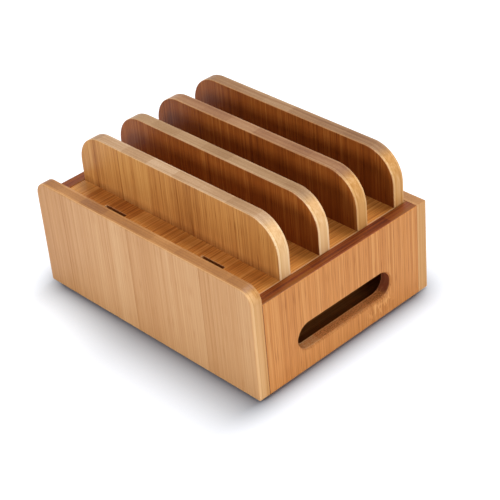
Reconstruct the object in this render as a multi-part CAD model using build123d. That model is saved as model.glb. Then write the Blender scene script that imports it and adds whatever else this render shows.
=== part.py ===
from build123d import *
import os

os.makedirs("parts", exist_ok=True)

# Bamboo charging organizer: an open box of glued boards, and a lift-off lid that carries four upright
# dividers. X runs along the long walls, Y from the front wall to the back wall, Z up from the table.
# The origin is on the table, under the middle of the box. All sizes are in millimetres.

# Box, outside
box_length = 170.0
box_width = 130.0
wall_thickness = 7.5
wall_height = 56.5          # end walls and back wall
front_rise = 10.0           # how far the front wall stands above the other three
front_corner_radius = 8.5
outer_easing = 1.0          # rounded arris at the ends and tops of the long walls
lower_easing = 1.0          # at the lower edges of all four walls
inner_easing = 0.6          # broken arris on the inside of the long walls
end_easing = 0.8            # at the upper outer edge of the end walls

# Cable opening in each end wall, a slot with round ends
opening_margin = 22.5       # wood left at each end of the opening
opening_height = 16.0
opening_rise = 12.5         # from the wall's lower edge to the opening
opening_easing = 0.8

# Bottom panel, held in a groove in all four walls
panel_thickness = 4.0
panel_rise = 2.2            # from the walls' lower edges to the panel
groove_depth = 3.0
groove_play = 0.2           # over the panel, and beyond its edges

# Feet
foot_radius = 5.0
foot_reach = 0.8            # how far the feet stand below the walls
foot_inset = 13.0           # from the inside of the walls to a foot's centre
foot_easing = 0.6

# Dowels that join the end walls to the long walls
dowel_radius = 2.0
dowel_in_end_wall = 9.5
dowel_cover = 2.5           # wood left in the long wall beyond the hole
dowel_inset = 14.0          # from the lower and upper edges of an end wall
dowel_play = 0.05           # radial
dowel_end_play = 0.5        # at each end of the hole
dowel_chamfer = 0.4

# Ledges inside the end walls, which carry the lid
ledge_depth = 8.0
ledge_height = 8.0
ledge_end_gap = 6.0
ledge_easing = 0.8

# Lid
lid_thickness = 7.5
lid_play = 0.35             # between the lid and each wall
lid_seat_play = 0.1         # between the lid and the ledges
lid_easing = 0.8

# Cable slots through the lid, two in each lane
slot_length = 17.0
slot_width = 1.8
slot_spacing = 77.0         # between the middles of a lane's two slots
slot_easing = 0.2

# Dividers
divider_count = 4
divider_thickness = 8.0
divider_height = 31.7
divider_corner_radius = 19.0
divider_easing = 0.6
front_lane = 20.0           # from the front wall to the first divider
rear_gap = 1.2              # from the last divider to the back wall

# Countersunk screws, up through the lid into each divider
screw_inset = 25.0          # from the divider's ends
screw_length = 18.0
screw_shank_radius = 1.5
screw_head_radius = 2.8
screw_head_height = 1.7
screw_tip_length = 3.0
screw_tip_radius = 0.2
screw_recess_width = 0.7
screw_recess_span = 3.0
screw_recess_depth = 1.0
screw_sink = 0.3            # from the lid's underside up to the head
screw_play = 0.05           # all round
screw_end_play = 0.5        # over the tip

cut_overrun = 1.0           # how far a cut runs past the face that it opens

# Places that follow from these sizes
half_length = box_length / 2
half_width = box_width / 2
inner_half_length = half_length - wall_thickness
inner_half_width = half_width - wall_thickness
end_wall_middle = half_length - wall_thickness / 2
walls_bottom = foot_reach
walls_top = walls_bottom + wall_height
panel_bottom = walls_bottom + panel_rise
panel_top = panel_bottom + panel_thickness
lid_top = walls_top
lid_bottom = lid_top - lid_thickness
lid_half_length = inner_half_length - lid_play
lid_half_width = inner_half_width - lid_play

# The lanes between the dividers share what the front lane and the boards leave
first_face = front_lane - inner_half_width
lanes_width = inner_half_width - rear_gap - divider_count * divider_thickness - first_face
pitch = divider_thickness + lanes_width / (divider_count - 1)
divider_faces = [first_face + index * pitch for index in range(divider_count)]
lane_starts = [-inner_half_width] + [face + divider_thickness for face in divider_faces[:-1]]
lane_middles = [(start + face) / 2 for start, face in zip(lane_starts, divider_faces)]

ends = {"left": -1, "right": 1}
sides = {"front": -1, "back": 1}


def save(shape, name):
    """Each piece has a file of its own."""
    export_step(shape, f"parts/{name}.step")


def block(x_span, y_span, z_span):
    """A box between its lowest and highest X, Y and Z."""
    spans = (x_span, y_span, z_span)
    middles = [(low + high) / 2 for low, high in spans]
    return Pos(*middles) * Box(*[high - low for low, high in spans])


def eased_slot(length, width, thickness, easing):
    """What a round-ended slot with chamfered rims takes out of a board that lies flat round the origin."""
    face = thickness / 2
    cut = extrude(SlotOverall(length, width), face + cut_overrun, both=True)
    rim = loft([
        Pos(0, 0, face) * SlotOverall(length + 2 * easing, width + 2 * easing),
        Pos(0, 0, face - easing) * SlotOverall(length, width),
    ])
    return cut + rim + mirror(rim, Plane.XY)


def upper_loop(board, face_index):
    """The edges of a board's lowest (0) or highest (-1) face in Y, without the bottom one."""
    edges = board.faces().sort_by(Axis.Y)[face_index].edges()
    lowest = edges.sort_by(Axis.Z)[0]
    return [edge for edge in edges if edge.center().Z > lowest.center().Z]


def standing_board(half_span, y_span, z_span, corner):
    """A board on edge along X, with its two upper corners rounded."""
    board = block((-half_span, half_span), y_span, z_span)
    if corner > 0:
        board = fillet(board.edges().filter_by(Axis.Y).group_by(Axis.Z)[-1], corner)
    return board


def panel_groove():
    """The space that the bottom panel's groove takes out of the walls."""
    x_reach = inner_half_length + groove_depth
    y_reach = inner_half_width + groove_depth
    return block((-x_reach, x_reach), (-y_reach, y_reach), (panel_bottom, panel_top + groove_play))


def corner_bar(end, side, height, radius, end_play):
    """A dowel, or its hole with play at both ends, across the joint of an end wall and a long wall."""
    reach_in = dowel_in_end_wall + end_play
    reach_out = wall_thickness - dowel_cover - dowel_end_play + end_play
    middle = side * (inner_half_width + (reach_out - reach_in) / 2)
    place = Plane(origin=(end * end_wall_middle, middle, height), x_dir=(1, 0, 0), z_dir=(0, 1, 0))
    return place * Cylinder(radius, reach_in + reach_out)


def dowel_places():
    """Each dowel's name with its end, its side and its height."""
    heights = {"lower": walls_bottom + dowel_inset, "upper": walls_top - dowel_inset}
    places = {}
    for side_name, side in sides.items():
        for end_name, end in ends.items():
            for level, height in heights.items():
                places[f"{side_name}_{end_name}_{level}_dowel"] = (end, side, height)
    return places


def cut_joints(wall):
    """A wall with the panel's groove and the blind dowel holes cut into it."""
    radius = dowel_radius + dowel_play
    holes = [corner_bar(*place, radius, dowel_end_play) for place in dowel_places().values()]
    return wall - panel_groove() - holes


def long_wall(name, side, rise, corner):
    """The front or back wall, over the box's whole length, made as a front wall and mirrored for the back."""
    z_span = (walls_bottom, walls_top + rise)
    wall = standing_board(half_length, (-half_width, -inner_half_width), z_span, corner)
    wall = fillet(upper_loop(wall, 0), outer_easing)
    lower_edges = wall.faces().sort_by(Axis.Z)[0].edges().sort_by(Axis.Y)[:-1]
    wall = fillet(lower_edges, lower_easing)
    wall = fillet(wall.faces().sort_by(Axis.Y)[-1].edges(), inner_easing)
    if side > 0:
        wall = mirror(wall, Plane.XZ)
    save(cut_joints(wall), name)


def end_wall(name, end):
    """An end wall between the long walls, made as the right one and mirrored for the left."""
    x_span = (inner_half_length, half_length)
    wall = block(x_span, (-inner_half_width, inner_half_width), (walls_bottom, walls_top))
    outer_edges = wall.faces().sort_by(Axis.X)[-1].edges().filter_by(Axis.Y).sort_by(Axis.Z)
    wall = fillet(outer_edges[-1], end_easing)
    wall = fillet(wall.faces().sort_by(Axis.X)[-1].edges().filter_by(Axis.Y).sort_by(Axis.Z)[0], lower_easing)
    opening_length = 2 * (inner_half_width - opening_margin)
    opening_middle = walls_bottom + opening_rise + opening_height / 2
    place = Plane(origin=(end_wall_middle, 0, opening_middle), x_dir=(0, 1, 0), z_dir=(1, 0, 0))
    wall = wall - place * eased_slot(opening_length, opening_height, wall_thickness, opening_easing)
    if end < 0:
        wall = mirror(wall, Plane.YZ)
    save(cut_joints(wall), name)


def bottom_panel():
    """The thin board that closes the box from below, let into the walls' groove."""
    x_reach = inner_half_length + groove_depth - groove_play
    y_reach = inner_half_width + groove_depth - groove_play
    save(block((-x_reach, x_reach), (-y_reach, y_reach), (panel_bottom, panel_top)), "bottom_panel")


def dowels():
    """Eight short dowels with chamfered ends, glued across the corners of the box."""
    for name, place in dowel_places().items():
        dowel = corner_bar(*place, dowel_radius, 0)
        save(chamfer(dowel.edges().filter_by(GeomType.CIRCLE), dowel_chamfer), name)


def lid_ledges():
    """A square batten glued high up inside each end wall, for the lid to lie on."""
    top = lid_bottom - lid_seat_play
    reach = inner_half_width - ledge_end_gap
    x_span = (inner_half_length - ledge_depth, inner_half_length)
    ledge = block(x_span, (-reach, reach), (top - ledge_height, top))
    ledge = fillet(ledge.faces().sort_by(Axis.X)[0].edges().sort_by(Axis.Z)[0], ledge_easing)
    save(ledge, "right_lid_ledge")
    save(mirror(ledge, Plane.YZ), "left_lid_ledge")


def feet():
    """Four soft round pads stuck under the bottom panel, standing just below the walls."""
    foot = Pos(0, 0, panel_bottom / 2) * Cylinder(foot_radius, panel_bottom)
    foot = fillet(foot.edges().filter_by(GeomType.CIRCLE).sort_by(Axis.Z)[0], foot_easing)
    for side_name, side in sides.items():
        for end_name, end in ends.items():
            place = Pos(end * (inner_half_length - foot_inset), side * (inner_half_width - foot_inset), 0)
            save(place * foot, f"{side_name}_{end_name}_foot")


def screw_shape(play, end_play):
    """A countersunk screw pointing up from its head at the origin, or with play, the hole for it."""
    head = screw_head_radius + play
    shank = screw_shank_radius + play
    outline = Polyline(
        (0, 0),
        (head, 0),
        (shank, screw_head_height),
        (shank, screw_length - screw_tip_length),
        (screw_tip_radius + play, screw_length + end_play),
        (0, screw_length + end_play),
        close=True,
    )
    return revolve(Plane.XZ * make_face(outline), Axis.Z)


def screw_places():
    """Each screw's name with the point in its head's face that it turns about."""
    reach = lid_half_length - screw_inset
    places = {}
    for index, face in enumerate(divider_faces, start=1):
        for end_name, end in ends.items():
            middle = face + divider_thickness / 2
            places[f"divider_{index}_{end_name}_screw"] = Pos(end * reach, middle, lid_bottom + screw_sink)
    return places


def screws():
    """Two wood screws under each divider, with a cross recess in the head."""
    screw = screw_shape(0, 0)
    height = screw_recess_depth + cut_overrun
    recess_middle = (screw_recess_depth - cut_overrun) / 2
    for span in ((screw_recess_span, screw_recess_width), (screw_recess_width, screw_recess_span)):
        screw = screw - Pos(0, 0, recess_middle) * Box(*span, height)
    for name, place in screw_places().items():
        save(place * screw, name)


def screw_holes():
    """The holes for the screws, with a short straight sink up from the lid's underside."""
    sink_height = screw_sink + cut_overrun
    sink = Pos(0, 0, -sink_height / 2) * Cylinder(screw_head_radius + screw_play, sink_height)
    hole = screw_shape(screw_play, screw_end_play) + sink
    return [place * hole for place in screw_places().values()]


def lid_panel():
    """The lid board, with its cable slots and the countersunk screw holes."""
    lid = block((-lid_half_length, lid_half_length), (-lid_half_width, lid_half_width), (lid_bottom, lid_top))
    lid = fillet(lid.faces().sort_by(Axis.Z)[-1].edges(), lid_easing)
    slot = eased_slot(slot_length, slot_width, lid_thickness, slot_easing)
    middle = (lid_bottom + lid_top) / 2
    places = [Pos(end * slot_spacing / 2, lane, middle) for lane in lane_middles for end in ends.values()]
    slots = [place * slot for place in places]
    save(lid - slots - screw_holes(), "lid_panel")


def dividers():
    """Four upright boards across the lid's whole length, with pilot holes for their screws."""
    corner = min(divider_corner_radius, divider_height - divider_easing)
    for index, face in enumerate(divider_faces, start=1):
        y_span = (face, face + divider_thickness)
        divider = standing_board(lid_half_length, y_span, (lid_top, lid_top + divider_height), corner)
        divider = fillet(upper_loop(divider, 0), divider_easing)
        divider = fillet(upper_loop(divider, -1), divider_easing)
        save(divider - screw_holes(), f"divider_{index}")


long_wall("front_wall", sides["front"], front_rise, front_corner_radius)
long_wall("back_wall", sides["back"], 0, 0)
end_wall("left_end_wall", ends["left"])
end_wall("right_end_wall", ends["right"])
bottom_panel()
dowels()
lid_ledges()
feet()
lid_panel()
dividers()
screws()
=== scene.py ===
import bpy
import math
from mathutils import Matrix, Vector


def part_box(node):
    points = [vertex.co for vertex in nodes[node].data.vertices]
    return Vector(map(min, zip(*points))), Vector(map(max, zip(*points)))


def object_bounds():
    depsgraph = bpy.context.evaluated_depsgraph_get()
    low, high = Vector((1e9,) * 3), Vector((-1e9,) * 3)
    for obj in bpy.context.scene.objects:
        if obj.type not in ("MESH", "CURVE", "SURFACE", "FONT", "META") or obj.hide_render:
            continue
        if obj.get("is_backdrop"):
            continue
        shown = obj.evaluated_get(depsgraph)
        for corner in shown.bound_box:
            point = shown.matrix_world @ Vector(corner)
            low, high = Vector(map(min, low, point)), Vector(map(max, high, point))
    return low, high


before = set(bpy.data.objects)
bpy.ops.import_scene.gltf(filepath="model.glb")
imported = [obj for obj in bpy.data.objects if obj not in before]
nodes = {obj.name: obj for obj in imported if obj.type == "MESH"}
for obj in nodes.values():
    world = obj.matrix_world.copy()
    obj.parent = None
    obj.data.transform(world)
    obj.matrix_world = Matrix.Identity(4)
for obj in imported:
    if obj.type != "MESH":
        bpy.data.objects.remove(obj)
cad_low, cad_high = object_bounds()

# Left and right end walls. Each is one board of pressed caramel bamboo, glued up from flat strips that
# stand upright, with a round-ended cable opening cut through it. They are doweled and glued between
# the long walls, and all the boards are sanded and wiped with a satin lacquer.


def linear(hex_colour):
    """An sRGB hex colour as linear red, green, blue and alpha."""
    channels = [int(hex_colour[index:index + 2], 16) / 255 for index in (0, 2, 4)]
    return [c / 12.92 if c <= 0.04045 else ((c + 0.055) / 1.055) ** 2.4 for c in channels] + [1.0]


def add(tree, kind, settings=None, sockets=None):
    """Adds a node, gives it its settings, and sets or links each of the sockets that are named."""
    node = tree.nodes.new(kind)
    for name, value in (settings or {}).items():
        setattr(node, name, value)
    for name, value in (sockets or {}).items():
        if isinstance(value, bpy.types.NodeSocket):
            tree.links.new(value, node.inputs[name])
        else:
            node.inputs[name].default_value = value
    return node


def new_material(name):
    """An empty node material, its tree, and the finish that its shader is linked to."""
    material = bpy.data.materials.new(name)
    material.use_nodes = True
    material.node_tree.nodes.clear()
    surface = add(material.node_tree, "ShaderNodeOutputMaterial").inputs["Surface"]
    return material, material.node_tree, surface


def set_stops(ramp, darkest, palest, *between):
    """Gives a colour ramp its stops, each a position and a hex colour."""
    stops = ramp.color_ramp.elements
    for stop, (position, colour) in zip(stops, (darkest, palest)):
        stop.position, stop.color = position, linear(colour)
    for position, colour in between:
        stops.new(position).color = linear(colour)


def weigh(tree, tone, layers, middle=0.0):
    """Adds layers of a pattern to a tone, each by its distance from the middle value times its share."""
    for layer, share in layers:
        if middle:
            layer = add(tree, "ShaderNodeMath", {"operation": "SUBTRACT"}, {0: layer, 1: middle}).outputs[0]
        tone = add(tree, "ShaderNodeMath", {"operation": "MULTIPLY_ADD"}, {
            0: layer, 1: share, 2: tone}).outputs[0]
    return tone


def dress(piece, material):
    """Gives every material slot of a piece the same material."""
    for slot in piece.material_slots:
        slot.material = material


MM = 0.001
PER_MM = 1 / MM
MIDDLE = 0.5                      # of a noise, and the tone of a board's middle colour
FIBRE_LENGTH = 150.0              # how many times longer than wide the soft bundles of fibres look
DASH_LENGTH = 28.0                # the same for the short dark fibres
BUNDLE = 1.9                      # width of a soft bundle of fibres, mm
THREAD = 0.8                      # width of the finer threads in it, mm
DASH = 0.5                        # width of a dark fibre, mm, drawn wider than the real 0.2 mm
DASH_RANGE = (0.58, 0.76)         # the noise at which a dark fibre begins and is fully dark
STAIN = 9.0                       # width of a slow change of tone, mm
STRIP_SHIFT = 37.0                # mm by which a strip's fibres are taken from another place, so none repeats
GLUE_LINE = 0.3                   # mm, drawn wider than the real 0.1 mm
PLY = 1.8                         # thickness of the board's two outer layers, mm
PLY_LINE = 1.5 * GLUE_LINE        # half the width of the dark line between them and the core, mm
CORE_LINE = 1.6                   # width of a line of the core in the top edge, mm
CORE_LINE_LENGTH = 45.0           # how many times longer it is along the edge
CORE_LINE_DEPTH = 6.0             # and how many times deeper it goes down the board
PATCH = 24.0                      # length of a light or dark patch of the top edge, mm
SOAK_DEPTH = 2.0                  # how far down a stain soaks from the top edge, mm
KNUCKLE_WIDTH = 13.5              # half the width of a growth ring's marks, mm
KNUCKLE_HEIGHT = 6.5              # half their height, mm
KNUCKLE_FULL = 0.35               # share of these within which the marks are at full strength
KNUCKLE_WAVES = (0.62, 0.62, 0.24)   # waves per mm, so the marks are longer along the grain than across
KNUCKLE_RANGE = (0.5, 0.62)       # the noise at which a mark begins and is fully pale
KNUCKLE_TONES = (-0.12, 0.36)     # darker than the board between the marks, and paler in them
END_TONE = -0.15                  # tone that the ends' fibres are added to
END_SLOPE = (0.45, 0.85)          # shares of the thickness between which the ends darken to one face
TONE_SPAN = (0.05, 0.95)          # tones of a board's darkest and palest colour
TOP_TURN = (0.72, 0.97)           # how far a surface turns up, from the ends' look to the top edge's
FACE_TURN = (0.75, 0.45)          # how far it turns to the face's side, from the face's look to the edges'
ARRIS_TURN = (0.97, 0.8)          # how far to any side, where an arris starts and where it is fully pale
ARRIS_FACE = (0.05, 0.3)          # how far to the face's side, so that the ends' own arrises stay plain
NOISE_SPAN = (0.3, 0.7)           # the values between which nearly all of a soft noise lies
LACQUER = (0.5, 0.38)             # roughness between the bundles of fibres and over them
PORE_DEPTH = 0.04 * MM            # depth of dark fibres and glue lines
UPRIGHT_ALONG_Y = (0, 0, -math.pi / 2)            # grain along Z, strips side by side along Y


def bamboo(name, turn, corner, thickness, seed, face, top, side, strip=18.6, core_strip=19.0,
           tones=0.3, lean=0.0, streaks=1.0, layering=0.7, stains=0.4, seams=0.3, wear_and_highlight=0.15,
           gloss=0.32, side_slope=0.0, stained_above=None, knuckle=None):
    """Pressed caramel bamboo, sanded and lacquered: long straight fibres in strips of slightly different
    tone, short dark fibres, a thin glue line between strips and a satin sheen. The core runs crosswise
    between two thin outer layers, so the top edge shows lines along it, in light and dark patches.

    turn and corner bring Object coordinates to the board's own, in mm: across its strips, through its
    thickness and along its grain. face, top and side are the dark, middle and pale colour of its faces,
    its top edge and its ends. strip and core_strip are widths in mm. tones, lean, streaks, stains and
    seams are how much the strips, the slope across each strip, the fibres, the slow changes and the
    glue lines show, and layering is the same for the core's lines. wear_and_highlight is how pale the
    arrises are, partly rubbed and partly a painted highlight, gloss is the lacquer's specular level, and
    side_slope darkens the ends towards one face.
    stained_above is a height and the colour of a stain there, knuckle the middle of a growth ring."""
    material, tree, surface = new_material(name)
    place = add(tree, "ShaderNodeTexCoord")
    board = add(tree, "ShaderNodeMapping", {}, {
        "Vector": place.outputs["Object"], "Rotation": turn, "Scale": (PER_MM,) * 3, "Location": corner})
    across, through, along = add(tree, "ShaderNodeSeparateXYZ", {}, {0: board.outputs[0]}).outputs
    normal = add(tree, "ShaderNodeMapping", {"vector_type": "VECTOR"}, {
        "Vector": place.outputs["Normal"], "Rotation": turn})
    normal = add(tree, "ShaderNodeVectorMath", {"operation": "ABSOLUTE"}, {0: normal.outputs[0]})
    to_end, to_face, to_top = add(tree, "ShaderNodeSeparateXYZ", {}, {0: normal.outputs[0]}).outputs

    # Strips, each with its own tone, and the glue between them
    strips = add(tree, "ShaderNodeMath", {"operation": "DIVIDE"}, {0: across, 1: strip}).outputs[0]
    index = add(tree, "ShaderNodeMath", {"operation": "FLOOR"}, {0: strips}).outputs[0]
    across_strip = add(tree, "ShaderNodeMath", {"operation": "FRACT"}, {0: strips}).outputs[0]
    strip_tone = add(tree, "ShaderNodeTexWhiteNoise", {"noise_dimensions": "3D"}, {
        "Vector": add(tree, "ShaderNodeCombineXYZ", {}, {0: index, 2: seed}).outputs[0]}).outputs[0]
    from_joint = add(tree, "ShaderNodeMath", {"operation": "PINGPONG"}, {0: strips, 1: 0.5}).outputs[0]
    glue = add(tree, "ShaderNodeMapRange", {"interpolation_type": "SMOOTHSTEP"}, {
        "Value": from_joint, "From Min": 0.0, "From Max": GLUE_LINE / strip,
        "To Min": 1.0, "To Max": 0.0}).outputs[0]

    # Fibres along the grain, each layer of them from its own draw of the noise
    shifted = add(tree, "ShaderNodeMath", {"operation": "MULTIPLY_ADD"}, {
        0: index, 1: STRIP_SHIFT, 2: across}).outputs[0]
    long_grain, short_grain = [add(tree, "ShaderNodeCombineXYZ", {}, {
        0: beside, 1: through,
        2: add(tree, "ShaderNodeMath", {"operation": "DIVIDE"}, {0: along, 1: length}).outputs[0]}).outputs[0]
        for beside, length in ((shifted, FIBRE_LENGTH), (across, DASH_LENGTH))]
    bundles, threads, stain = [add(tree, "ShaderNodeTexNoise", {"noise_dimensions": "4D"}, {
        "Vector": long_grain, "W": draw, "Scale": 1 / width, "Detail": 1.0, "Roughness": 0.5}).outputs[0]
        for draw, width in ((seed, BUNDLE), (seed + 3, THREAD), (seed + 9, STAIN))]
    dashes = add(tree, "ShaderNodeTexNoise", {"noise_dimensions": "4D"}, {
        "Vector": short_grain, "W": seed + 5, "Scale": 1 / DASH, "Detail": 0.0}).outputs[0]
    dark_fibre = add(tree, "ShaderNodeMapRange", {"interpolation_type": "SMOOTHSTEP"}, {
        "Value": dashes, "From Min": DASH_RANGE[0], "From Max": DASH_RANGE[1],
        "To Min": 0.0, "To Max": 1.0}).outputs[0]
    tone = weigh(tree, MIDDLE, (
        (strip_tone, tones), (across_strip, lean), (bundles, 0.6 * streaks), (threads, 1.05 * streaks),
        (stain, stains)), MIDDLE)
    tone = weigh(tree, tone, ((glue, -seams), (dark_fibre, -0.28 * streaks)))

    # The growth ring's marks: pale, wavy and short, in one place only
    if knuckle:
        from_ring = add(tree, "ShaderNodeVectorMath", {"operation": "SUBTRACT"}, {
            0: board.outputs[0], 1: (knuckle[0], 0, knuckle[1])})
        beside, _, above = add(tree, "ShaderNodeSeparateXYZ", {}, {0: from_ring.outputs[0]}).outputs
        waves = add(tree, "ShaderNodeTexNoise", {"noise_dimensions": "4D"}, {
            "Vector": add(tree, "ShaderNodeVectorMath", {"operation": "MULTIPLY"}, {
                0: board.outputs[0], 1: KNUCKLE_WAVES}).outputs[0],
            "W": seed, "Scale": 1.0, "Detail": 0.0, "Distortion": 1.1}).outputs[0]
        marks = add(tree, "ShaderNodeMapRange", {"interpolation_type": "SMOOTHSTEP"}, {
            "Value": waves, "From Min": KNUCKLE_RANGE[0], "From Max": KNUCKLE_RANGE[1],
            "To Min": KNUCKLE_TONES[0], "To Max": KNUCKLE_TONES[1]}).outputs[0]
        for distance, reach in ((beside, KNUCKLE_WIDTH), (above, KNUCKLE_HEIGHT)):
            near = add(tree, "ShaderNodeMapRange", {"interpolation_type": "SMOOTHSTEP"}, {
                "Value": add(tree, "ShaderNodeMath", {"operation": "ABSOLUTE"}, {0: distance}).outputs[0],
                "From Min": KNUCKLE_FULL * reach, "From Max": reach, "To Min": 1.0, "To Max": 0.0}).outputs[0]
            marks = add(tree, "ShaderNodeMath", {"operation": "MULTIPLY"}, {0: marks, 1: near}).outputs[0]
        tone = add(tree, "ShaderNodeMath", {"operation": "ADD"}, {0: tone, 1: marks}).outputs[0]
    face_ramp = add(tree, "ShaderNodeValToRGB", {}, {0: tone})

    # The core's crosswise lines and patches, and the two thin outer layers
    crosswise = add(tree, "ShaderNodeCombineXYZ", {}, {
        0: add(tree, "ShaderNodeMath", {"operation": "DIVIDE"}, {0: across, 1: CORE_LINE_LENGTH}).outputs[0],
        1: through,
        2: add(tree, "ShaderNodeMath", {"operation": "DIVIDE"}, {0: along, 1: CORE_LINE_DEPTH}).outputs[0]})
    lines = add(tree, "ShaderNodeTexNoise", {"noise_dimensions": "4D"}, {
        "Vector": crosswise.outputs[0], "W": seed, "Scale": 1 / CORE_LINE, "Detail": 2.0,
        "Roughness": 0.6}).outputs[0]
    patches = add(tree, "ShaderNodeTexNoise", {"noise_dimensions": "1D"}, {
        "W": add(tree, "ShaderNodeMath", {"operation": "MULTIPLY_ADD"}, {
            0: across, 1: 1 / PATCH, 2: seed}).outputs[0], "Scale": 1.0, "Detail": 0.0}).outputs[0]
    core_index = add(tree, "ShaderNodeMath", {"operation": "FLOOR"}, {
        0: add(tree, "ShaderNodeMath", {"operation": "DIVIDE"}, {0: across, 1: core_strip}).outputs[0]})
    core = add(tree, "ShaderNodeTexWhiteNoise", {"noise_dimensions": "2D"}, {
        "Vector": add(tree, "ShaderNodeCombineXYZ", {}, {
            0: core_index.outputs[0], 1: seed}).outputs[0]}).outputs[0]
    core_half = thickness / 2 - PLY
    from_middle = add(tree, "ShaderNodeMath", {"operation": "ABSOLUTE"}, {
        0: add(tree, "ShaderNodeMath", {"operation": "SUBTRACT"}, {
            0: through, 1: thickness / 2}).outputs[0]}).outputs[0]
    outer_layer = add(tree, "ShaderNodeMapRange", {"interpolation_type": "SMOOTHSTEP"}, {
        "Value": from_middle, "From Min": core_half, "From Max": core_half + GLUE_LINE}).outputs[0]
    from_ply = add(tree, "ShaderNodeMath", {"operation": "ABSOLUTE"}, {
        0: add(tree, "ShaderNodeMath", {"operation": "SUBTRACT"}, {
            0: from_middle, 1: core_half}).outputs[0]}).outputs[0]
    ply_line = add(tree, "ShaderNodeMapRange", {"interpolation_type": "SMOOTHSTEP"}, {
        "Value": from_ply, "From Min": 0.0, "From Max": PLY_LINE, "To Min": 1.0, "To Max": 0.0}).outputs[0]

    # Top edge. Where a stain soaked in from above, an opening below it shows more end grain and less core
    top_ramp = add(tree, "ShaderNodeValToRGB")
    top_colour = top_ramp.outputs[0]
    end_grain = 0.4
    if stained_above:
        level, stain_colour = stained_above
        soaked = add(tree, "ShaderNodeMapRange", {"interpolation_type": "SMOOTHSTEP"}, {
            "Value": along, "From Min": level - SOAK_DEPTH, "From Max": level}).outputs[0]
        layering, end_grain = [add(tree, "ShaderNodeMapRange", {}, {
            "Value": soaked, "To Min": below, "To Max": at_top}).outputs[0]
            for below, at_top in ((0.2 * layering, layering), (1.1, end_grain))]
        top_colour = add(tree, "ShaderNodeMix", {"data_type": "RGBA", "blend_type": "MULTIPLY"}, {
            0: soaked, 6: top_colour, 7: linear(stain_colour)}).outputs[2]
    top_tone = weigh(tree, MIDDLE, (
        (lines, layering), (patches, 0.35), (core, 0.42), (threads, end_grain)), MIDDLE)
    top_tone = weigh(tree, top_tone, ((outer_layer, 0.12), (ply_line, -0.12)))
    tree.links.new(top_tone, top_ramp.inputs[0])

    # Ends of the board: the long grain again, paler in both outer layers, with a dark line beside each
    side_tone = weigh(tree, END_TONE, (
        (bundles, 0.7), (threads, 0.6), (outer_layer, 0.2), (ply_line, -0.2)))
    side_tone = add(tree, "ShaderNodeMath", {"operation": "ADD"}, {
        0: side_tone, 1: add(tree, "ShaderNodeMapRange", {"interpolation_type": "SMOOTHSTEP"}, {
            "Value": through, "From Min": END_SLOPE[0] * thickness, "From Max": END_SLOPE[1] * thickness,
            "To Min": 0.5 * side_slope, "To Max": -0.5 * side_slope}).outputs[0]}).outputs[0]
    side_ramp = add(tree, "ShaderNodeValToRGB", {}, {0: side_tone})

    for ramp, (dark, middle, pale) in ((face_ramp, face), (top_ramp, top), (side_ramp, side)):
        set_stops(ramp, (TONE_SPAN[0], dark), (TONE_SPAN[1], pale), (MIDDLE, middle))
    on_top = add(tree, "ShaderNodeMapRange", {"interpolation_type": "SMOOTHSTEP"}, {
        "Value": to_top, "From Min": TOP_TURN[0], "From Max": TOP_TURN[1]}).outputs[0]
    off_face = add(tree, "ShaderNodeMapRange", {"interpolation_type": "SMOOTHSTEP"}, {
        "Value": to_face, "From Min": FACE_TURN[0], "From Max": FACE_TURN[1]}).outputs[0]
    edge_colour = add(tree, "ShaderNodeMix", {"data_type": "RGBA"}, {
        0: on_top, 6: side_ramp.outputs[0], 7: top_colour}).outputs[2]
    colour = add(tree, "ShaderNodeMix", {"data_type": "RGBA"}, {
        0: off_face, 6: face_ramp.outputs[0], 7: edge_colour}).outputs[2]

    # Arrises, pale in the ends' palest colour: partly rubbed where the sanding went through the stain, and
    # partly a painted highlight where light catches their rounding
    squarest = add(tree, "ShaderNodeMath", {"operation": "MAXIMUM"}, {
        0: add(tree, "ShaderNodeMath", {"operation": "MAXIMUM"}, {0: to_end, 1: to_top}).outputs[0],
        1: to_face}).outputs[0]
    rubbed_and_highlit = add(tree, "ShaderNodeMapRange", {"interpolation_type": "SMOOTHSTEP"}, {
        "Value": squarest, "From Min": ARRIS_TURN[0], "From Max": ARRIS_TURN[1],
        "To Min": 0.0, "To Max": wear_and_highlight}).outputs[0]
    rubbed_and_highlit = add(tree, "ShaderNodeMath", {"operation": "MULTIPLY"}, {
        0: rubbed_and_highlit, 1: add(tree, "ShaderNodeMapRange", {}, {
            "Value": to_face, "From Min": ARRIS_FACE[0], "From Max": ARRIS_FACE[1]}).outputs[0]}).outputs[0]
    colour = add(tree, "ShaderNodeMix", {"data_type": "RGBA"}, {
        0: rubbed_and_highlit, 6: colour, 7: linear(side[2])}).outputs[2]

    sheen = add(tree, "ShaderNodeMapRange", {}, {
        "Value": bundles, "From Min": NOISE_SPAN[0], "From Max": NOISE_SPAN[1],
        "To Min": LACQUER[0], "To Max": LACQUER[1]}).outputs[0]
    pores = add(tree, "ShaderNodeMath", {"operation": "MAXIMUM"}, {0: dark_fibre, 1: glue}).outputs[0]
    bump = add(tree, "ShaderNodeBump", {"invert": True}, {
        "Height": pores, "Strength": 0.4, "Distance": PORE_DEPTH}).outputs[0]
    shader = add(tree, "ShaderNodeBsdfPrincipled", {}, {
        "Base Color": colour, "Roughness": sheen, "IOR": 1.45, "Specular IOR Level": gloss,
        "Coat Weight": 0.04, "Coat Roughness": 0.25, "Normal": bump})
    tree.links.new(shader.outputs[0], surface)
    return material


# The top edge's colours are pale. At the top edge the stain darkens them. On the rim of each cable opening,
# which lies in shade inside the opening, their paleness is painted light.
for end, seed in (("left", 7999), ("right", 5037)):
    name = f"{end}_end_wall"
    low, high = (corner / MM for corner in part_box(name))
    dress(nodes[name], bamboo(
        f"{name}_bamboo", UPRIGHT_ALONG_Y, (0, high.x, 0), high.x - low.x, seed,
        face=("ae6a2e", "cc8644", "dfa360"), top=("a05c28", "f4a25e", "fccf94"),
        side=("803e20", "995436", "b87650"), strip=21.0, tones=0.15, streaks=1.15, layering=2.4,
        gloss=0.24, stained_above=(high.z, "87602c"), knuckle=(27.0, 8.0)))

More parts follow.
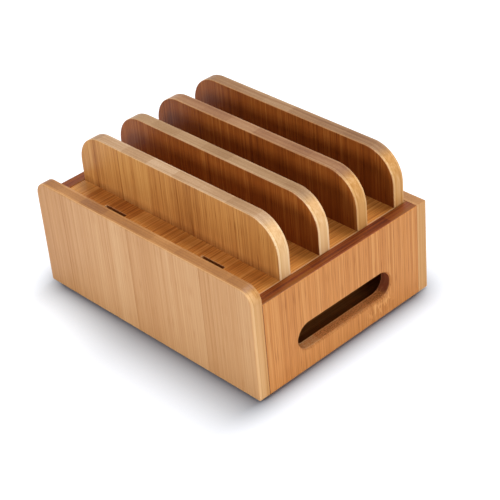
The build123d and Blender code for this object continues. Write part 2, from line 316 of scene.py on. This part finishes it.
# Front and back walls. Full-length boards of the same bamboo in wide strips, with their ends and upper
# arrises rounded. The front one stands higher and keeps the devices from sliding off. They are glued to
# the end walls over dowels that stop inside the boards.
UPRIGHT_ALONG_X = (0, 0, 0)                       # grain along Z, strips side by side along X
WALL_JOINT = 47.5                                 # mm from the middle to the joint between two strips
for side, seed, slope, top in (("front", 3853, 0.5, ("80502a", "a36e3a", "c08a52")),
                               ("back", 5326, 0.0, ("8c5c30", "b8824c", "d8a872"))):
    name = f"{side}_wall"
    low, high = (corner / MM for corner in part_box(name))
    dress(nodes[name], bamboo(
        f"{name}_bamboo", UPRIGHT_ALONG_X, (-WALL_JOINT, -low.y, 0), high.y - low.y, seed,
        face=("a66e36", "c18f5d", "d7ae7f"), top=top, side=("b2763a", "cb9456", "e3b47e"),
        strip=55.5, tones=0.45, lean=0.2, streaks=0.6, seams=0.45, side_slope=slope))

# Bottom panel. One thin board of unlacquered bamboo that closes the box from below. Its colour is made
# darker than the walls', partly as painted shade of the closed box's inside. It is slid into a groove in
# all four walls before the last of them is glued on.
LYING = (math.pi / 2, 0, 0)                       # grain along Y, strips side by side along X
PAINTED_DARK_PANEL = ("74481f", "946434", "b0814c")
low, high = (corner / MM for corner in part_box("bottom_panel"))
dress(nodes["bottom_panel"], bamboo(
    "bottom_panel_bamboo", LYING, (0, high.z, 0), high.z - low.z, 31,
    face=PAINTED_DARK_PANEL, top=PAINTED_DARK_PANEL, side=PAINTED_DARK_PANEL, gloss=0.08))

# Dowels. Turned from pale birch, with a chamfer at each end, and cut to length. Two are glued across
# each corner of the box, from the long walls into the end walls, where they can't be seen.
BIRCH_LINE = 0.625                                # width of a growth line, mm
BIRCH_LENGTH = 20                                 # how many times longer it looks than wide
FINE_RELIEF = 0.05 * MM                           # height of a turned or moulded surface's roughness


def birch(name):
    """Turned birch: pale and even, with faint long lines and a dry surface."""
    material, tree, surface = new_material(name)
    place = add(tree, "ShaderNodeTexCoord")
    stretched = add(tree, "ShaderNodeMapping", {}, {
        "Vector": place.outputs["Object"], "Scale": (PER_MM, PER_MM / BIRCH_LENGTH, PER_MM)})
    lines = add(tree, "ShaderNodeTexNoise", {}, {
        "Vector": stretched.outputs[0], "Scale": 1 / BIRCH_LINE, "Detail": 3.0})
    ramp = add(tree, "ShaderNodeValToRGB", {}, {0: lines.outputs[0]})
    set_stops(ramp, (NOISE_SPAN[0], "c2a274"), (NOISE_SPAN[1], "dcc39a"))
    bump = add(tree, "ShaderNodeBump", {}, {
        "Height": lines.outputs[0], "Strength": 0.4, "Distance": FINE_RELIEF})
    shader = add(tree, "ShaderNodeBsdfPrincipled", {}, {
        "Base Color": ramp.outputs[0], "Roughness": 0.7, "Normal": bump.outputs[0]})
    tree.links.new(shader.outputs[0], surface)
    return material


turned_birch = birch("turned_birch")
for name, node in nodes.items():
    if name.endswith("_dowel"):
        dress(node, turned_birch)

# Ledges. Square battens of bamboo, sawn from the same boards and glued and pressed to the inside of the
# end walls. The lid lies loose on them, level with the end walls' top.
for end, seed in (("left", 41), ("right", 43)):
    name = f"{end}_lid_ledge"
    low, high = (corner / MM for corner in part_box(name))
    dress(nodes[name], bamboo(
        f"{name}_bamboo", LYING, (0, high.z, 0), high.z - low.z, seed,
        face=("a5682f", "c48a50", "d9a56c"), top=("8a5228", "a5713f", "c08f5e"),
        side=("a5682f", "c48a50", "d9a56c"), gloss=0.15))

# Feet. Round pads of soft black rubber, moulded with a fine pebbled skin. They are stuck under the four
# corners of the bottom panel and hold the walls just off the table.
PEBBLE = 0.5                                      # width of a pebble in the skin, mm


def rubber(name):
    """Moulded rubber: near black and matt, with a fine pebbled skin."""
    material, tree, surface = new_material(name)
    place = add(tree, "ShaderNodeTexCoord")
    pebble = add(tree, "ShaderNodeTexNoise", {}, {
        "Vector": place.outputs["Object"], "Scale": PER_MM / PEBBLE, "Detail": 2.0})
    ramp = add(tree, "ShaderNodeValToRGB", {}, {0: pebble.outputs[0]})
    set_stops(ramp, (NOISE_SPAN[0], "1c1c1e"), (NOISE_SPAN[1], "2b2b2d"))
    bump = add(tree, "ShaderNodeBump", {}, {
        "Height": pebble.outputs[0], "Strength": 0.4, "Distance": FINE_RELIEF})
    shader = add(tree, "ShaderNodeBsdfPrincipled", {}, {
        "Base Color": ramp.outputs[0], "Roughness": 0.75, "Normal": bump.outputs[0]})
    tree.links.new(shader.outputs[0], surface)
    return material


moulded_rubber = rubber("moulded_rubber")
for name, node in nodes.items():
    if name.endswith("_foot"):
        dress(node, moulded_rubber)

# Lid. A loose board of darker bamboo with its grain from front to back, so that its strips cross the
# lanes. Two narrow slots for the cables are cut in each lane. Its arrises are pale, partly rubbed and
# partly a painted highlight along its edges.
LID_JOINT = -7.3                                  # mm from the middle to the joint between two strips
low, high = (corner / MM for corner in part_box("lid_panel"))
dress(nodes["lid_panel"], bamboo(
    "lid_panel_bamboo", LYING, (-LID_JOINT, high.z, 0), high.z - low.z, 10032,
    face=("9e541b", "d2883c", "efb264"), top=("7a3f1c", "a0622f", "c08a50"),
    side=("a5682f", "cc9258", "e4b684"), tones=0.45, stains=0.2, wear_and_highlight=0.6, gloss=0.24))

# Dividers. Four bamboo boards that stand on the lid with their grain upright and their upper corners
# rounded. They are screwed on from below. The front one is pale. The three behind it are given darker
# colours, which is painted shade: they stand in the narrow, shaded lanes between the boards.
# For each: its seed, the mm by which its strips are moved along it, and the dark, middle and pale colour
# of its face, its top edge and its ends.
DIVIDERS = {
    "divider_1": (3770, 0, ("854c1d", "ba8042", "d6a560"), ("946d47", "b28b65", "cfae8c"),
                  ("d09a5c", "e8bd88", "f8dcb2")),
    "divider_2": (5745, 9, ("602809", "904d1a", "b87838"), ("805935", "9f7a54", "be9a75"),
                  ("cc9656", "e4b680", "f4d4a8")),
    "divider_3": (3351, 19, ("5e2607", "8e4b18", "b67536"), ("794c2e", "996b47", "b48a64"),
                  ("b67c3c", "cf9858", "e8c08c")),
    "divider_4": (2585, 20, ("5e2607", "8e4b18", "b67536"), ("754d2f", "98704c", "b4916c"),
                  ("b67c3c", "cf9858", "e8c08c")),
}
for name, (seed, stagger, face, top, side) in DIVIDERS.items():
    low, high = (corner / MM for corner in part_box(name))
    dress(nodes[name], bamboo(
        f"{name}_bamboo", UPRIGHT_ALONG_X, (stagger, -low.y, 0), high.y - low.y, seed, face, top, side,
        core_strip=20.3, layering=1.1, tones=0.2, streaks=0.85, stains=0.2, seams=0.1, gloss=0.18))

# Screws. Countersunk wood screws of steel, zinc plated, with a cross recess. Two go up through the lid
# into each divider, and their heads lie just inside the lid's underside.
BLOTCH = 2.5                                      # width of a blotch in the plating, mm


def zinc(name):
    """Bright zinc plating on steel: pale grey metal with faint blotches and a changing sheen."""
    material, tree, surface = new_material(name)
    place = add(tree, "ShaderNodeTexCoord")
    blotch = add(tree, "ShaderNodeTexNoise", {}, {
        "Vector": place.outputs["Object"], "Scale": PER_MM / BLOTCH, "Detail": 3.0})
    ramp = add(tree, "ShaderNodeValToRGB", {}, {0: blotch.outputs[0]})
    set_stops(ramp, (NOISE_SPAN[0], "a9abad"), (NOISE_SPAN[1], "cfd2d3"))
    rough = add(tree, "ShaderNodeMapRange", {}, {
        "Value": blotch.outputs[0], "From Min": NOISE_SPAN[0], "From Max": NOISE_SPAN[1],
        "To Min": 0.25, "To Max": 0.42})
    shader = add(tree, "ShaderNodeBsdfPrincipled", {}, {
        "Base Color": ramp.outputs[0], "Metallic": 1.0, "Roughness": rough.outputs[0]})
    tree.links.new(shader.outputs[0], surface)
    return material


zinc_plated_steel = zinc("zinc_plated_steel")
for name, node in nodes.items():
    if name.endswith("_screw"):
        dress(node, zinc_plated_steel)

# Floor. A plain sheet of cool white paper that keeps the object's soft shadow from the lamps. Seen directly,
# it brightens to pure white with distance from the object's outline, which paints a soft shadow round the
# object over the real one: shorter beside it than in front of it, and shorter round its corners, except the
# front right one.
FLOOR_HALF = 3.0                  # metres from the middle to an edge
PAINTED_SHADOW_REACH = 0.0115               # metres over which most of the brightening happens
FRONT_SHARE = 0.46                # how fast it goes towards the front, beside 1 for the other sides
LEFT_SHARE = 0.95                 # the same at the left end of the front
PAINTED_SHADOW_CORNER = 0.014               # radius in metres by which the glow's inner edge is rounded
FRONT_CORNER = 0.2 * PAINTED_SHADOW_CORNER  # the same at the front right corner
bpy.ops.object.select_all(action="DESELECT")
bpy.ops.mesh.primitive_plane_add(size=2 * FLOOR_HALF, location=(0, 0, 0))
floor = bpy.context.object
floor.name = "floor"
floor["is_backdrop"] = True
white_paper, tree, surface = new_material("white_paper")
path = add(tree, "ShaderNodeLightPath")
place = add(tree, "ShaderNodeTexCoord").outputs["Object"]
x, y, _ = add(tree, "ShaderNodeSeparateXYZ", {}, {0: place}).outputs

# How far a point is outside the object's outline
before = add(tree, "ShaderNodeVectorMath", {"operation": "SUBTRACT"}, {0: cad_low, 1: place}).outputs[0]
front_share = add(tree, "ShaderNodeMapRange", {"interpolation_type": "SMOOTHSTEP"}, {
    "Value": x, "From Min": cad_low.x, "From Max": 0.0, "To Min": LEFT_SHARE, "To Max": FRONT_SHARE})
before = add(tree, "ShaderNodeVectorMath", {"operation": "MULTIPLY"}, {
    0: before, 1: add(tree, "ShaderNodeCombineXYZ", {}, {
        0: 1.0, 1: front_share.outputs[0]}).outputs[0]}).outputs[0]
beyond = add(tree, "ShaderNodeVectorMath", {"operation": "SUBTRACT"}, {0: place, 1: cad_high}).outputs[0]
outside = add(tree, "ShaderNodeVectorMath", {"operation": "MAXIMUM"}, {0: before, 1: beyond}).outputs[0]
to_front_right = cad_high.x - cad_low.y
corner = add(tree, "ShaderNodeMapRange", {"interpolation_type": "SMOOTHSTEP"}, {
    "Value": add(tree, "ShaderNodeMath", {"operation": "SUBTRACT"}, {0: x, 1: y}).outputs[0],
    "From Min": 0.5 * to_front_right, "From Max": to_front_right,
    "To Min": PAINTED_SHADOW_CORNER, "To Max": FRONT_CORNER}).outputs[0]
outside = add(tree, "ShaderNodeVectorMath", {"operation": "ADD"}, {
    0: outside, 1: add(tree, "ShaderNodeCombineXYZ", {}, {0: corner, 1: corner}).outputs[0]}).outputs[0]
outside = add(tree, "ShaderNodeVectorMath", {"operation": "MAXIMUM"}, {0: outside, 1: (0, 0, 0)}).outputs[0]
away = add(tree, "ShaderNodeMath", {"operation": "SUBTRACT"}, {
    0: add(tree, "ShaderNodeVectorMath", {"operation": "LENGTH"}, {0: outside}).outputs["Value"],
    1: corner}).outputs[0]
away = add(tree, "ShaderNodeMath", {"operation": "MAXIMUM"}, {0: away, 1: 0.0}).outputs[0]

# Matt paper there, pale where it lights the object and darker where it is seen under its own glow, so that
# near the object, where the glow is faint, painted shade deepens the lamps' real shadow
painted_shadow = add(tree, "ShaderNodeMath", {"operation": "EXPONENT"}, {
    0: add(tree, "ShaderNodeMath", {"operation": "DIVIDE"}, {0: away, 1: -PAINTED_SHADOW_REACH}).outputs[0]}).outputs[0]
backdrop = add(tree, "ShaderNodeMath", {"operation": "SUBTRACT"}, {0: 1.0, 1: painted_shadow}).outputs[0]
seen = add(tree, "ShaderNodeMath", {"operation": "MAXIMUM"}, {
    0: path.outputs["Is Camera Ray"], 1: path.outputs["Is Glossy Ray"]}).outputs[0]
strength = add(tree, "ShaderNodeMath", {"operation": "MULTIPLY"}, {0: seen, 1: backdrop}).outputs[0]
glow = add(tree, "ShaderNodeEmission", {}, {"Color": linear("ffffff"), "Strength": strength})
shade = add(tree, "ShaderNodeMix", {"data_type": "RGBA"}, {
    0: seen, 6: linear("f6f8fa"), 7: linear("8d919b")}).outputs[2]
matt = add(tree, "ShaderNodeBsdfDiffuse", {}, {"Color": shade})
both = add(tree, "ShaderNodeAddShader", {}, {0: matt.outputs[0], 1: glow.outputs[0]})
tree.links.new(both.outputs[0], surface)
floor.data.materials.append(white_paper)

# Studio light. A room that is seen and mirrored as pure white and lights the object faintly, a broad
# lamp overhead and a little behind, a soft lamp to the front, and a soft lamp to the right.
ROOM = 0.30                                       # how brightly the room lights the object
world = bpy.data.worlds.new("studio")
bpy.context.scene.world = world
world.use_nodes = True
tree = world.node_tree
tree.nodes.clear()
path = add(tree, "ShaderNodeLightPath")
seen = add(tree, "ShaderNodeMath", {"operation": "MAXIMUM"}, {
    0: path.outputs["Is Camera Ray"], 1: path.outputs["Is Glossy Ray"]}).outputs[0]
seen = add(tree, "ShaderNodeMath", {"operation": "MAXIMUM"}, {
    0: seen, 1: path.outputs["Is Transmission Ray"]}).outputs[0]
strength = add(tree, "ShaderNodeMapRange", {}, {"Value": seen, "To Min": ROOM, "To Max": 1.0}).outputs[0]
room = add(tree, "ShaderNodeBackground", {}, {"Color": linear("ffffff"), "Strength": strength})
add(tree, "ShaderNodeOutputWorld", {}, {"Surface": room.outputs[0]})


def softbox(name, place, size, power):
    """A square area lamp that points at the middle of the object. Metres and watts."""
    lamp = bpy.data.lights.new(name, "AREA")
    lamp.shape = "SQUARE"
    lamp.size = size
    lamp.energy = power
    holder = bpy.data.objects.new(name, lamp)
    bpy.context.scene.collection.objects.link(holder)
    middle = (cad_low + cad_high) / 2
    holder.location = place
    holder.rotation_euler = (middle - holder.location).to_track_quat("-Z", "Y").to_euler()


softbox("overhead", (-0.05, 0.66, 1.70), 0.75, 20.0)
softbox("front", (-0.15, -1.5, 0.66), 0.5, 12.5)
softbox("right", (1.55, -0.1, 0.56), 0.7, 9.6)

# Camera. A short telephoto about 0.85 m from the object, to its front right and half a metre above the
# table, tipped by a few degrees. Its place and lens were worked out from the object's edges.
CAMERA_PLACE = (0.54489, -0.46604, 0.50503)
CAMERA_TURN = (55.900, 4.505, 45.671)             # degrees about X, Y and Z
CAMERA_LENS = 112.22                              # mm, on the default sensor
camera_data = bpy.data.cameras.new("camera")
camera_data.lens = CAMERA_LENS
camera = bpy.data.objects.new("camera", camera_data)
camera.location = CAMERA_PLACE
camera.rotation_euler = [math.radians(angle) for angle in CAMERA_TURN]
bpy.context.scene.collection.objects.link(camera)
bpy.context.scene.camera = camera
bpy.context.scene.view_settings.view_transform = "Standard"

low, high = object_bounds()
